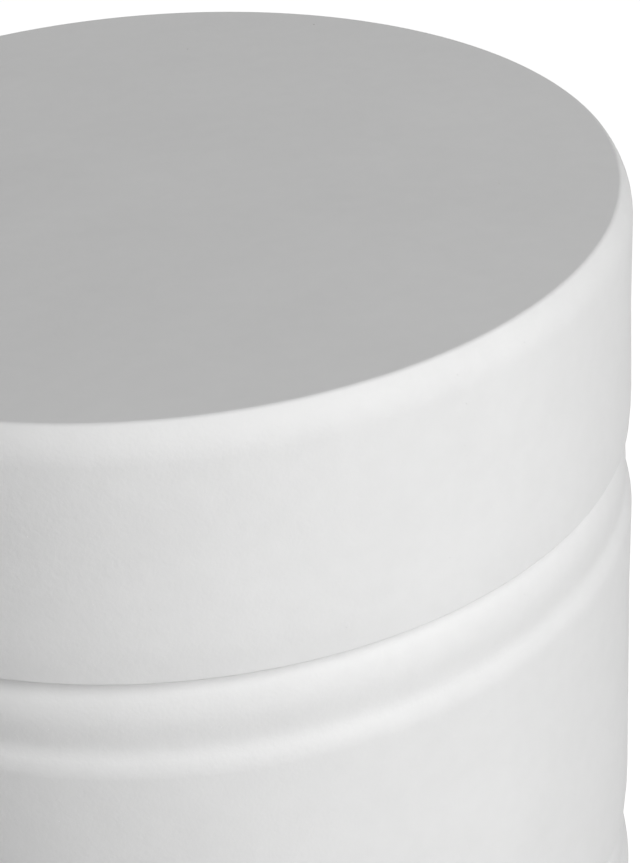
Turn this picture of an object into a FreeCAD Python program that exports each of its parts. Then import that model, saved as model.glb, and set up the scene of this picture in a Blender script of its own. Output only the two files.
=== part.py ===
import FreeCAD, Part
import Sketcher
import os

# Outdoor accent table: a hollow drum of three cast sections, stacked and clamped by four rods inside,
# standing on four levelling feet. The origin is on the floor under the middle of the drum, +Z is up,
# and all sizes are in millimetres.

# Driving dimensions

SIZES = {
    # whole table
    "table_height": 457.0,
    "drum_radius": 202.6,
    "floor_gap": 7.0,
    "top_band_height": 111.2,
    "middle_band_height": 204.7,
    # table top and the walls behind the bands
    "wall_thickness": 16.6,
    "slab_thickness": 24.0,
    "floor_thickness": 30.0,
    "inner_corner": 9.0,
    # the edge of the table top
    "arris_inset": 4.9,
    "arris_drop": 15.0,
    "arris_round": 2.2,
    "waist_depth": 0.45,
    # lower lip of a section
    "lip_inset": 0.8,
    "lip_height": 16.5,
    "lip_round": 0.8,
    # bead, cove and roll along the upper edge of the middle and base sections
    "crease_gap": 1.2,
    "crease_inset": 10.4,
    "bead_inset": 2.2,
    "bead_drop": 21.3,
    "bead_nose_inset": 5.5,
    "bead_nose_height": 16.5,
    "cove_inset": 2.6,
    "cove_drop": 31.1,
    "roll_swell": 0.65,
    "roll_drop": 44.0,
    "roll_end_drop": 85.0,
    "base_swell": 0.35,
    "base_round": 5.0,
    # seat between two sections
    "spigot_thickness": 5.8,
    "spigot_height": 10.0,
    "spigot_clearance": 0.8,
    "bed_thickness": 2.0,
    "bed_margin": 0.5,
    # drain
    "drain_radius": 12.0,
    # tie rods
    "rod_wall_distance": 36.0,
    "rod_radius": 4.0,
    "rod_hole_radius": 5.0,
    "rod_chamfer": 0.8,
    "rod_tail": 2.0,
    "rod_engagement": 22.0,
    "boss_radius": 20.0,
    "boss_height": 26.0,
    "ferrule_radius": 8.0,
    "ferrule_length": 30.0,
    "ferrule_end": 3.0,
    "recess_radius": 14.0,
    "recess_depth": 12.0,
    "washer_radius": 12.0,
    "washer_hole_radius": 4.4,
    "washer_thickness": 1.6,
    "nut_across_flats": 13.0,
    "nut_height": 6.5,
    # levelling feet
    "foot_edge_distance": 46.6,
    "pocket_radius": 23.0,
    "pocket_depth": 5.0,
    "insert_radius": 7.0,
    "insert_length": 20.0,
    "insert_end": 1.0,
    "stud_radius": 4.0,
    "stud_end_gap": 1.0,
    "stud_chamfer": 0.8,
    "collar_across_flats": 13.0,
    "swivel_radius": 8.0,
    "swivel_thickness": 2.0,
    "cup_radius": 19.0,
    "cup_rim_height": 2.5,
    "cup_height": 6.0,
    "cup_top_radius": 13.0,
    "cup_floor": 1.4,
    "sole_radius": 17.5,
    "sole_thickness": 2.0,
    "sole_chamfer": 0.5,
    # clearances
    "cast_in_gap": 0.1,
    "thread_clearance": 0.05,
    "swivel_clearance": 0.3,
    # how far a cut or a boss runs past the face that it starts from
    "overrun": 1.0,
}

ROD_COUNT = 4
FOOT_COUNT = 4
FOOT_TURN_DEG = 45.0
HALF_HEX_DEG = 30.0
COVE_SHARE = 0.35

doc = FreeCAD.newDocument("accent_table")
sheet = doc.addObject("Spreadsheet::Sheet", "Sizes")
for row, (alias, number) in enumerate(SIZES.items(), start=1):
    sheet.set("A%d" % row, alias)
    sheet.set("B%d" % row, str(number))
    sheet.setAlias("B%d" % row, alias)
doc.recompute()


class Size:
    """A length that holds its number and its spreadsheet expression side by side."""

    def __init__(self, text, value):
        self.text = text
        self.value = value

    def join(self, other, sign, value):
        return Size("(%s %s %s)" % (self.text, sign, as_size(other).text), value)

    def __add__(self, other):
        return self.join(other, "+", self.value + as_size(other).value)

    def __sub__(self, other):
        return self.join(other, "-", self.value - as_size(other).value)

    def __mul__(self, other):
        return self.join(other, "*", self.value * as_size(other).value)

    def __truediv__(self, other):
        return self.join(other, "/", self.value / as_size(other).value)


def as_size(thing):
    return thing if isinstance(thing, Size) else Size(repr(thing), float(thing))


def of(alias):
    """The named size, bound to its cell."""
    return Size("Sizes." + alias, float(sheet.get(alias)))


ZERO = as_size(0)

# Heights above the floor, and radii, that several pieces share

crease_upper = of("table_height") - of("top_band_height")
crease_lower = crease_upper - of("middle_band_height")
underside = of("floor_gap")
cavity_radius = of("drum_radius") - of("wall_thickness")
spigot_radius = cavity_radius + of("spigot_thickness")
rebate_radius = spigot_radius + of("spigot_clearance")
rebate_depth = of("spigot_height") + of("bed_thickness")
base_height = crease_lower - underside
rod_ring_radius = cavity_radius - of("rod_wall_distance")
foot_ring_radius = of("drum_radius") - of("foot_edge_distance")
slab_underside = of("table_height") - of("slab_thickness")
boss_underside = slab_underside - of("boss_height")
recess_roof = underside + of("recess_depth")
pocket_roof = underside + of("pocket_depth")
thread_bore = of("rod_radius") + of("thread_clearance")
stud_bore = of("stud_radius") + of("thread_clearance")


# Sketching and turning

LINE = "line"
UPRIGHT_START = "arc that starts upright"
UPRIGHT_END = "arc that ends upright"
LEVEL_END = "arc that ends level"


def arc_through(start, end, kind):
    """A first guess at the arc, whose centre is level with, or straight over, the named end."""
    here, there = (start, end) if kind == UPRIGHT_START else (end, start)
    chord = there - here
    towards = FreeCAD.Vector(0, 1, 0) if kind == LEVEL_END else FreeCAD.Vector(1, 0, 0)
    centre = here + towards * (chord.dot(chord) / (2 * chord.dot(towards)))
    bisector = (start - centre).normalize() + (end - centre).normalize()
    middle = centre + bisector.normalize() * (here - centre).Length
    return Part.Arc(start, middle, end)


def end_of(sketch, edge, point):
    """Which end of the sketched edge lies at the point: 1 for its start, 2 for its end."""
    gaps = [(sketch.getPoint(edge, end) - point).Length for end in (1, 2)]
    return 1 if gaps[0] < gaps[1] else 2


def hold(sketch, kind, axis_line, edge, end, size):
    """Dimension one coordinate of a point from the sketch origin, or lay the point on the axis."""
    if size.value == 0:
        sketch.addConstraint(Sketcher.Constraint("PointOnObject", edge, end, axis_line))
        return
    number = sketch.addConstraint(Sketcher.Constraint(kind, -1, 1, edge, end, size.value))
    sketch.setExpression("Constraints[%d]" % number, size.text)


def draw_outline(sketch, outline):
    """Draw a closed outline of (radius, height, kind of edge that leaves the point)."""
    spots = [FreeCAD.Vector(radius.value, height.value, 0) for radius, height, kind in outline]
    edges = []
    for index, (radius, height, kind) in enumerate(outline):
        start = spots[index]
        end = spots[(index + 1) % len(spots)]
        shape = Part.LineSegment(start, end) if kind == LINE else arc_through(start, end, kind)
        edges.append(sketch.addGeometry(shape, False))
    leaving = [end_of(sketch, edge, spots[index]) for index, edge in enumerate(edges)]
    for index, (radius, height, kind) in enumerate(outline):
        edge = edges[index]
        before = edges[index - 1]
        sketch.addConstraint(Sketcher.Constraint("Coincident", before, 3 - leaving[index - 1], edge, leaving[index]))
        hold(sketch, "DistanceX", -2, edge, leaving[index], radius)
        hold(sketch, "DistanceY", -1, edge, leaving[index], height)
        if kind == UPRIGHT_START:
            sketch.addConstraint(Sketcher.Constraint("Horizontal", edge, 3, edge, leaving[index]))
        if kind == UPRIGHT_END:
            sketch.addConstraint(Sketcher.Constraint("Horizontal", edge, 3, edge, 3 - leaving[index]))
        if kind == LEVEL_END:
            sketch.addConstraint(Sketcher.Constraint("Vertical", edge, 3, edge, 3 - leaving[index]))


def origin_feature(body, role):
    return [feature for feature in body.Origin.OriginFeatures if feature.Role == role][0]


def new_sketch(body, name, plane):
    sketch = body.newObject("Sketcher::SketchObject", name)
    sketch.AttachmentSupport = [(origin_feature(body, plane), "")]
    sketch.MapMode = "FlatFace"
    return sketch


def turned(label, outline):
    """A body turned about its own Z axis from an outline in its XZ plane."""
    body = doc.addObject("PartDesign::Body", label)
    body.Label = label
    sketch = new_sketch(body, label + "_outline", "XZ_Plane")
    draw_outline(sketch, outline)
    solid = body.newObject("PartDesign::Revolution", label + "_turned")
    solid.Profile = sketch
    solid.ReferenceAxis = (sketch, ["V_Axis"])
    solid.Angle = 360
    sketch.Visibility = False
    doc.recompute()
    return body


def round_sketch(body, name, radius, ring_radius, height, turn_deg):
    """One circle on a level plane, ring_radius out from the axis and turned about it."""
    sketch = new_sketch(body, name, "XY_Plane")
    turn = FreeCAD.Rotation(FreeCAD.Vector(0, 0, 1), turn_deg)
    sketch.AttachmentOffset = FreeCAD.Placement(FreeCAD.Vector(0, 0, height.value), turn)
    sketch.setExpression("AttachmentOffset.Base.z", height.text)
    centre = FreeCAD.Vector(ring_radius.value, 0, 0)
    circle = sketch.addGeometry(Part.Circle(centre, FreeCAD.Vector(0, 0, 1), radius.value), False)
    sketch.addConstraint(Sketcher.Constraint("PointOnObject", circle, 3, -1))
    hold(sketch, "DistanceX", -2, circle, 3, ring_radius)
    number = sketch.addConstraint(Sketcher.Constraint("Radius", circle, radius.value))
    sketch.setExpression("Constraints[%d]" % number, radius.text)
    return sketch


def around(body, feature, name, count):
    """Repeat a feature evenly about the body's Z axis."""
    pattern = body.newObject("PartDesign::PolarPattern", name)
    pattern.Originals = [feature]
    pattern.Axis = (origin_feature(body, "Z_Axis"), [""])
    pattern.Angle = 360
    pattern.Occurrences = count
    body.Tip = pattern
    doc.recompute()


def add_bosses(body, name, radius, ring_radius, height, length, count, turn_deg):
    """Round bosses that rise from the given height."""
    sketch = round_sketch(body, name + "_circle", radius, ring_radius, height, turn_deg)
    pad = body.newObject("PartDesign::Pad", name)
    pad.Profile = sketch
    pad.setExpression("Length", length.text)
    doc.recompute()
    around(body, pad, name + "_ring", count)


def drill_up(body, name, radius, ring_radius, height, depth, count, turn_deg):
    """Round holes that are drilled upwards from the given height."""
    before = body.Shape.Volume
    sketch = round_sketch(body, name + "_circle", radius, ring_radius, height, turn_deg)
    pocket = body.newObject("PartDesign::Pocket", name)
    pocket.Profile = sketch
    pocket.Reversed = True
    pocket.setExpression("Length", depth.text)
    doc.recompute()
    if count > 1:
        around(body, pocket, name + "_ring", count)
    if body.Shape.Volume >= before:
        raise RuntimeError(name + " cut nothing")


def round_edge(body, name, edge_radius, edge_height, fillet_radius):
    """Round the circular edge at the given radius and height."""
    near = of("overrun").value / 2
    names = []
    for index, edge in enumerate(body.Shape.Edges, start=1):
        curve = edge.Curve
        if isinstance(curve, Part.Circle) and abs(curve.Radius - edge_radius.value) < near:
            if abs(curve.Center.z - body.Placement.Base.z - edge_height.value) < near:
                names.append("Edge%d" % index)
    if len(names) != 1:
        raise RuntimeError("%s: %d edges to round" % (name, len(names)))
    rounded = body.Tip
    fillet = body.newObject("PartDesign::Fillet", name)
    fillet.Base = (rounded, names)
    fillet.setExpression("Radius", fillet_radius.text)
    body.Tip = fillet
    doc.recompute()


def lift(item, height):
    """Set a piece at its height on the table's axis."""
    item.Placement = FreeCAD.Placement(FreeCAD.Vector(0, 0, height.value), FreeCAD.Rotation())
    item.setExpression("Placement.Base.z", height.text)


def stand_on_ring(item, ring_radius, angle_deg, height):
    """Set a piece upright on a ring about the table's axis."""
    turn = FreeCAD.Rotation(FreeCAD.Vector(0, 0, 1), angle_deg)
    out = turn.multVec(FreeCAD.Vector(ring_radius.value, 0, 0))
    item.Placement = FreeCAD.Placement(FreeCAD.Vector(out.x, out.y, height.value), turn)
    item.setExpression("Placement.Base.x", "%s * cos(%s deg)" % (ring_radius.text, angle_deg))
    item.setExpression("Placement.Base.y", "%s * sin(%s deg)" % (ring_radius.text, angle_deg))
    item.setExpression("Placement.Base.z", height.text)


def angles(count, turn_deg):
    return [turn_deg + index * 360.0 / count for index in range(count)]


# Outlines that the castings share

def swept_step(start, end, first_share):
    """Two arcs from one upright tangent to another, as their starts; the first takes that share of the way."""
    turn_radius = start[0] + (end[0] - start[0]) * first_share
    turn_height = start[1] + (end[1] - start[1]) * first_share
    return [(start[0], start[1], UPRIGHT_START), (turn_radius, turn_height, UPRIGHT_END)]


def lower_lip(face_radius):
    """The face's rounded lower edge and the rebate that sits over the next section's spigot."""
    lip_radius = face_radius - of("lip_inset")
    return [
        (face_radius, of("lip_height"), UPRIGHT_START),
        (lip_radius, of("lip_round"), LEVEL_END),
        (lip_radius - of("lip_round"), ZERO, LINE),
        (rebate_radius, ZERO, LINE),
        (rebate_radius, rebate_depth, LINE),
        (cavity_radius, rebate_depth, LINE),
    ]


def upper_moulding(crease, swell):
    """Spigot, crease, bead, cove and roll, down to where the face runs straight."""
    face = of("drum_radius") + swell
    ledge = crease - of("crease_gap")
    bead = (face - of("bead_inset"), crease - of("bead_drop"))
    cove = (face - of("cove_inset"), crease - of("cove_drop"))
    roll = (face + of("roll_swell"), crease - of("roll_drop"))
    nose = (bead[0] - of("bead_nose_inset"), bead[1] + of("bead_nose_height"))
    return [
        (cavity_radius, crease + of("spigot_height"), LINE),
        (spigot_radius, crease + of("spigot_height"), LINE),
        (spigot_radius, ledge, LINE),
        (of("drum_radius") - of("crease_inset"), ledge, LINE),
        (nose[0], nose[1], UPRIGHT_END),
    ] + swept_step(bead, cove, 1 - COVE_SHARE) + swept_step(cove, roll, COVE_SHARE) + [
        (roll[0], roll[1], LINE),
        (face, crease - of("roll_end_drop"), LINE),
    ]


# Castings

def make_top_section():
    height = of("top_band_height")
    ceiling = height - of("slab_thickness")
    arris_radius = of("drum_radius") - of("arris_inset")
    face_top = (of("drum_radius"), height - of("arris_drop"))
    waist = (of("drum_radius") - of("waist_depth"), (face_top[1] + of("lip_height")) / 2)
    outline = [(ZERO, height, LINE), (arris_radius, height, UPRIGHT_END)]
    outline += [(face_top[0], face_top[1], LINE), (waist[0], waist[1], LINE)]
    outline += lower_lip(of("drum_radius"))
    outline += [
        (cavity_radius, ceiling - of("inner_corner"), UPRIGHT_START),
        (cavity_radius - of("inner_corner"), ceiling, LINE),
        (ZERO, ceiling, LINE),
    ]
    body = turned("top_section", outline)
    round_edge(body, "soft_arris", arris_radius, height, of("arris_round"))
    boss_foot = ceiling - of("boss_height")
    add_bosses(body, "rod_boss", of("boss_radius"), rod_ring_radius, boss_foot,
               of("boss_height") + of("overrun"), ROD_COUNT, 0)
    drill_up(body, "ferrule_hole", of("ferrule_radius") + of("cast_in_gap"), rod_ring_radius, boss_foot,
             of("ferrule_length") + of("cast_in_gap"), ROD_COUNT, 0)
    lift(body, crease_upper)
    return body


def make_middle_section():
    outline = upper_moulding(of("middle_band_height"), ZERO) + lower_lip(of("drum_radius"))
    body = turned("middle_section", outline)
    lift(body, crease_lower)
    return body


def make_base_section():
    face = of("drum_radius") + of("base_swell")
    outline = upper_moulding(base_height, of("base_swell")) + [
        (face, of("base_round"), UPRIGHT_START),
        (face - of("base_round"), ZERO, LINE),
        (ZERO, ZERO, LINE),
        (ZERO, of("floor_thickness"), LINE),
        (cavity_radius - of("inner_corner"), of("floor_thickness"), UPRIGHT_END),
        (cavity_radius, of("floor_thickness") + of("inner_corner"), LINE),
    ]
    body = turned("base_section", outline)
    through = of("floor_thickness") + of("overrun")
    drill_up(body, "drain_hole", of("drain_radius"), ZERO, ZERO, through, 1, 0)
    drill_up(body, "rod_hole", of("rod_hole_radius"), rod_ring_radius, ZERO, through, ROD_COUNT, 0)
    drill_up(body, "nut_recess", of("recess_radius"), rod_ring_radius, ZERO, of("recess_depth"),
             ROD_COUNT, 0)
    drill_up(body, "foot_pocket", of("pocket_radius"), foot_ring_radius, ZERO, of("pocket_depth"),
             FOOT_COUNT, FOOT_TURN_DEG)
    drill_up(body, "insert_hole", of("insert_radius") + of("cast_in_gap"), foot_ring_radius,
             of("pocket_depth"), of("insert_length") + of("cast_in_gap"), FOOT_COUNT, FOOT_TURN_DEG)
    lift(body, underside)
    return body


def make_seam_bed(label, crease):
    """Soft ring between a spigot's top and the roof of the rebate over it."""
    inner = cavity_radius + of("bed_margin")
    outer = spigot_radius - of("bed_margin")
    body = turned(label, [
        (inner, ZERO, LINE),
        (outer, ZERO, LINE),
        (outer, of("bed_thickness"), LINE),
        (inner, of("bed_thickness"), LINE),
    ])
    lift(body, crease + of("spigot_height"))
    return body


# Tie rods and their fastenings

washer_underside = recess_roof - of("washer_thickness")
nut_underside = washer_underside - of("nut_height")
rod_underside = nut_underside - of("rod_tail")
rod_length = boss_underside + of("rod_engagement") - rod_underside


def make_tie_rod(label, angle_deg):
    narrow = of("rod_radius") - of("rod_chamfer")
    body = turned(label, [
        (ZERO, ZERO, LINE),
        (narrow, ZERO, LINE),
        (of("rod_radius"), of("rod_chamfer"), LINE),
        (of("rod_radius"), rod_length - of("rod_chamfer"), LINE),
        (narrow, rod_length, LINE),
        (ZERO, rod_length, LINE),
    ])
    stand_on_ring(body, rod_ring_radius, angle_deg, rod_underside)
    return body


def threaded_socket(label, radius, length, bore, end_wall):
    """A socket with a blind bore that opens downwards."""
    return turned(label, [
        (bore, ZERO, LINE),
        (radius, ZERO, LINE),
        (radius, length, LINE),
        (ZERO, length, LINE),
        (ZERO, length - end_wall, LINE),
        (bore, length - end_wall, LINE),
    ])


def hex_block(name, across_flats, height):
    """A six-sided prism with the given distance across its flats."""
    prism = doc.addObject("Part::Prism", name)
    prism.Polygon = 6
    prism.setExpression("Circumradius", "%s / 2 / cos(%s deg)" % (across_flats.text, HALF_HEX_DEG))
    prism.setExpression("Height", height.text)
    return prism


def make_nut(name, angle_deg):
    block = hex_block(name + "_block", of("nut_across_flats"), of("nut_height"))
    bore = doc.addObject("Part::Cylinder", name + "_bore")
    bore.setExpression("Radius", thread_bore.text)
    bore.setExpression("Height", (of("nut_height") + of("overrun") * 2).text)
    bore.setExpression("Placement.Base.z", "-" + of("overrun").text)
    nut = doc.addObject("Part::Cut", name)
    nut.Base = block
    nut.Tool = bore
    stand_on_ring(nut, rod_ring_radius, angle_deg, nut_underside)
    return nut


def group(label, members):
    """One node for a set of identical fasteners."""
    compound = doc.addObject("Part::Compound", label)
    compound.Label = label
    compound.Links = members
    return compound


def make_rod_ferrules():
    members = []
    for number, angle_deg in enumerate(angles(ROD_COUNT, 0), start=1):
        ferrule = threaded_socket("ferrule_%d" % number, of("ferrule_radius"), of("ferrule_length"),
                                  thread_bore, of("ferrule_end"))
        stand_on_ring(ferrule, rod_ring_radius, angle_deg, boss_underside)
        members.append(ferrule)
    return group("rod_ferrules", members)


def make_rod_washers():
    members = []
    for number, angle_deg in enumerate(angles(ROD_COUNT, 0), start=1):
        washer = turned("washer_%d" % number, [
            (of("washer_hole_radius"), ZERO, LINE),
            (of("washer_radius"), ZERO, LINE),
            (of("washer_radius"), of("washer_thickness"), LINE),
            (of("washer_hole_radius"), of("washer_thickness"), LINE),
        ])
        stand_on_ring(washer, rod_ring_radius, angle_deg, washer_underside)
        members.append(washer)
    return group("rod_washers", members)


def make_rod_nuts():
    return group("rod_nuts", [make_nut("nut_%d" % number, angle_deg)
                              for number, angle_deg in enumerate(angles(ROD_COUNT, 0), start=1)])


# Levelling feet, drawn screwed fully in: the collar is up against the insert

swivel_floor = of("sole_thickness") + of("cup_floor")
cup_top = of("sole_thickness") + of("cup_height")
collar_underside = cup_top + of("swivel_clearance")


def make_foot_insert(label, angle_deg):
    body = threaded_socket(label, of("insert_radius"), of("insert_length"), stud_bore, of("insert_end"))
    stand_on_ring(body, foot_ring_radius, angle_deg, pocket_roof)
    return body


def make_foot_stud(label, angle_deg):
    """Thread, spanner collar and the disc that turns in the cup."""
    top = pocket_roof + of("insert_length") - of("insert_end") - of("stud_end_gap") - swivel_floor
    narrow = of("stud_radius") - of("stud_chamfer")
    spindle = turned(label + "_spindle", [
        (ZERO, ZERO, LINE),
        (of("swivel_radius"), ZERO, LINE),
        (of("swivel_radius"), of("swivel_thickness"), LINE),
        (of("stud_radius"), of("swivel_thickness"), LINE),
        (of("stud_radius"), top - of("stud_chamfer"), LINE),
        (narrow, top, LINE),
        (ZERO, top, LINE),
    ])
    collar = hex_block(label + "_collar", of("collar_across_flats"), pocket_roof - collar_underside)
    collar.setExpression("Placement.Base.z", (collar_underside - swivel_floor).text)
    stud = doc.addObject("Part::Fuse", label)
    stud.Base = spindle
    stud.Tool = collar
    stud.Label = label
    stand_on_ring(stud, foot_ring_radius, angle_deg, swivel_floor)
    return stud


def make_foot_cup(label, angle_deg):
    throat = of("stud_radius") + of("swivel_clearance")
    hollow = of("swivel_radius") + of("swivel_clearance")
    hollow_top = of("cup_floor") + of("swivel_thickness") + of("swivel_clearance")
    body = turned(label, [
        (ZERO, ZERO, LINE),
        (of("cup_radius"), ZERO, LINE),
        (of("cup_radius"), of("cup_rim_height"), LINE),
        (of("cup_top_radius"), of("cup_height"), LINE),
        (throat, of("cup_height"), LINE),
        (throat, hollow_top, LINE),
        (hollow, hollow_top, LINE),
        (hollow, of("cup_floor"), LINE),
        (ZERO, of("cup_floor"), LINE),
    ])
    stand_on_ring(body, foot_ring_radius, angle_deg, of("sole_thickness"))
    return body


def make_foot_sole(label, angle_deg):
    body = turned(label, [
        (ZERO, ZERO, LINE),
        (of("sole_radius") - of("sole_chamfer"), ZERO, LINE),
        (of("sole_radius"), of("sole_chamfer"), LINE),
        (of("sole_radius"), of("sole_thickness"), LINE),
        (ZERO, of("sole_thickness"), LINE),
    ])
    stand_on_ring(body, foot_ring_radius, angle_deg, ZERO)
    return body


# The whole table

subparts = [
    make_top_section(),
    make_middle_section(),
    make_base_section(),
    make_seam_bed("upper_seam_bed", crease_upper),
    make_seam_bed("lower_seam_bed", crease_lower),
    make_rod_ferrules(),
    make_rod_washers(),
    make_rod_nuts(),
]
for number, angle_deg in enumerate(angles(ROD_COUNT, 0), start=1):
    subparts.append(make_tie_rod("tie_rod_%d" % number, angle_deg))
for number, angle_deg in enumerate(angles(FOOT_COUNT, FOOT_TURN_DEG), start=1):
    subparts.append(make_foot_insert("foot_insert_%d" % number, angle_deg))
    subparts.append(make_foot_stud("foot_stud_%d" % number, angle_deg))
    subparts.append(make_foot_cup("foot_cup_%d" % number, angle_deg))
    subparts.append(make_foot_sole("foot_sole_%d" % number, angle_deg))

doc.recompute()
for item in doc.Objects:
    if "Invalid" in item.State or "Error" in item.State:
        raise RuntimeError("%s failed: %s" % (item.Name, item.State))
for item in subparts:
    if item.Shape.isNull() or not item.Shape.isValid():
        raise RuntimeError(item.Label + " has no valid shape")

os.makedirs("parts", exist_ok=True)
for item in subparts:
    item.Shape.exportStep("parts/%s.step" % item.Label)
    box = item.Shape.BoundBox
    print("%-16s %d solids %12.1f mm3  z %.2f to %.2f" % (item.Label, len(item.Shape.Solids), item.Shape.Volume,
                                                          box.ZMin, box.ZMax))
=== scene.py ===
import functools
import math
from typing import NamedTuple

import bpy
from bpy.types import Operator, PropertyGroup
from mathutils import Matrix, Vector


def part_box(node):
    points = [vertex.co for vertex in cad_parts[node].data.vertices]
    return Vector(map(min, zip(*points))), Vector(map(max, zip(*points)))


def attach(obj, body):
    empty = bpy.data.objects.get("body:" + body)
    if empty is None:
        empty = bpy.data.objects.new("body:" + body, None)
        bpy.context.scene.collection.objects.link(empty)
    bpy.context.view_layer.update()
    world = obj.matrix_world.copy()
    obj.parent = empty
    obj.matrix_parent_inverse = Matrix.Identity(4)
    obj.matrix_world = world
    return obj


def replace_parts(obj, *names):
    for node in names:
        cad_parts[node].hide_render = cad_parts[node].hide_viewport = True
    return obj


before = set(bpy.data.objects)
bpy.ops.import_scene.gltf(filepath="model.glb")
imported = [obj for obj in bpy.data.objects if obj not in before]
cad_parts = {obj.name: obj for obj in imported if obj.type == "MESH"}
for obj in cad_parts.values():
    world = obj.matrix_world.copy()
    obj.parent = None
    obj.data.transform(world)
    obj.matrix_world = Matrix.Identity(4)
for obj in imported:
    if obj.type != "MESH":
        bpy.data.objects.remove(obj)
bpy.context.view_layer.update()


bl_info = {
    "name": "Cast Accent Table",
    "version": (1, 0, 0),
    "blender": (4, 5, 0),
    "location": "3D View > Sidebar > Accent Table",
    "description": "Dresses a round cast-stone accent table, its tie rods and its levelling feet",
    "category": "Add Mesh",
}

MM = 0.001
ROD_COUNT = 4
FOOT_COUNT = 4
FOOT_TURN = math.radians(45)
CAD = {node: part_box(node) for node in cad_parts}

# Facets round the small forms, and rows of points in a turn of thread
HOLE_SIDES, NUT_SIDES, WASHER_SIDES, FOOT_SIDES, THREAD_SIDES = 64, 96, 72, 96, 20
TURN_ROWS, CREST_ROWS = 4, 2

# Angles in degrees past which an edge stays sharp
SHARP_CASTING, SHARP_THREAD, SHARP_STUD, SHARP_NUT = 35, 50, 25, 20

# How far a cutter overruns, how near points merge, and how often a casting wanders in a metre
OVERRUN = 1 * MM
MERGED = 0.005 * MM
WANDERS = 8.0


def foot_of(node):
    """Height of a CAD node's lowest point."""
    return CAD[node][0].z


def head_of(node):
    """Height of a CAD node's highest point."""
    return CAD[node][1].z


def ring_of(node):
    """Distance of a CAD node's middle from the table's axis."""
    middle = (CAD[node][0] + CAD[node][1]) / 2
    return math.hypot(middle.x, middle.y)


def length(description, millimetres):
    """A length that the user may change, with its default given in millimetres."""
    return bpy.props.FloatProperty(description=description, default=millimetres * MM, min=0.0,
                                   unit="LENGTH", subtype="DISTANCE", precision=5)


def in_degrees(description, degrees):
    return bpy.props.FloatProperty(description=description, default=math.radians(degrees),
                                   subtype="ANGLE")


def in_watts(description, watts):
    return bpy.props.FloatProperty(description=description, default=watts, subtype="POWER")


def share(description, default):
    return bpy.props.FloatProperty(description=description, default=default, subtype="FACTOR",
                                   min=0.0, max=1.0)


def colour(description, default):
    return bpy.props.FloatVectorProperty(description=description, default=default,
                                         subtype="COLOR", size=3, min=0.0, max=1.0)


class CastingSizes(PropertyGroup):
    """Sizes of the three castings and of the mouldings on them"""

    drum_radius: length("Radius of the straight faces", CAD["top_section"][1].x / MM)
    arris_inset: length("Soft arris to the face", 4.9)
    arris_drop: length("Height of the curve under the arris", 15.0)
    arris_round: length("Radius of the soft arris", 2.2)
    waist_depth: length("Draw-in of the first band", 0.45)
    wall: length("Thickness of the walls", 16.6)
    slab: length("Thickness of the table top", 24.0)
    floor: length("Thickness of the base's floor", 30.0)
    inner_corner: length("Rounding inside top and base", 9.0)
    lip_inset: length("Draw-in of a lower lip", 0.8)
    lip_height: length("Height of the lip's curve", 16.5)
    lip_round: length("Radius of the lip's lower edge", 0.8)
    crease_gap: length("Height of the open crease", 1.2)
    crease_inset: length("Depth of the crease behind the face", 10.4)
    bead_inset: length("Depth of the bead behind the face", 2.15)
    bead_drop: length("Bead's crown under the crease", 21.2)
    nose_inset: length("Bead's shoulder behind its crown", 5.5)
    nose_height: length("Bead's shoulder over its crown", 16.5)
    cove_inset: length("Depth of the cove behind the face", 2.8)
    cove_drop: length("Cove under the crease", 31.2)
    cove_share: share("The cove's share of the steps beside it", 0.42)
    roll_swell: length("Roll proud of the face", 0.62)
    roll_drop: length("Roll's crown under the crease", 44.0)
    roll_end: length("Roll's end under the crease", 85.0)
    base_swell: length("Base proud of the other faces", 0.35)
    base_round: length("Radius of the base's lower edge", 5.0)
    spigot: length("Thickness of the spigot", 5.8)
    spigot_height: length("Height of the spigot", 10.0)
    spigot_gap: length("Room round the spigot", 0.8)
    bed: length("Thickness of the soft bed in a seam", 2.0)
    drain_radius: length("Radius of the drain hole", 12.0)
    unevenness: length("Wandering of the cast faces", 0.08)
    turn_steps: bpy.props.IntProperty(description="Facets round a casting", default=288, min=24)


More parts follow.
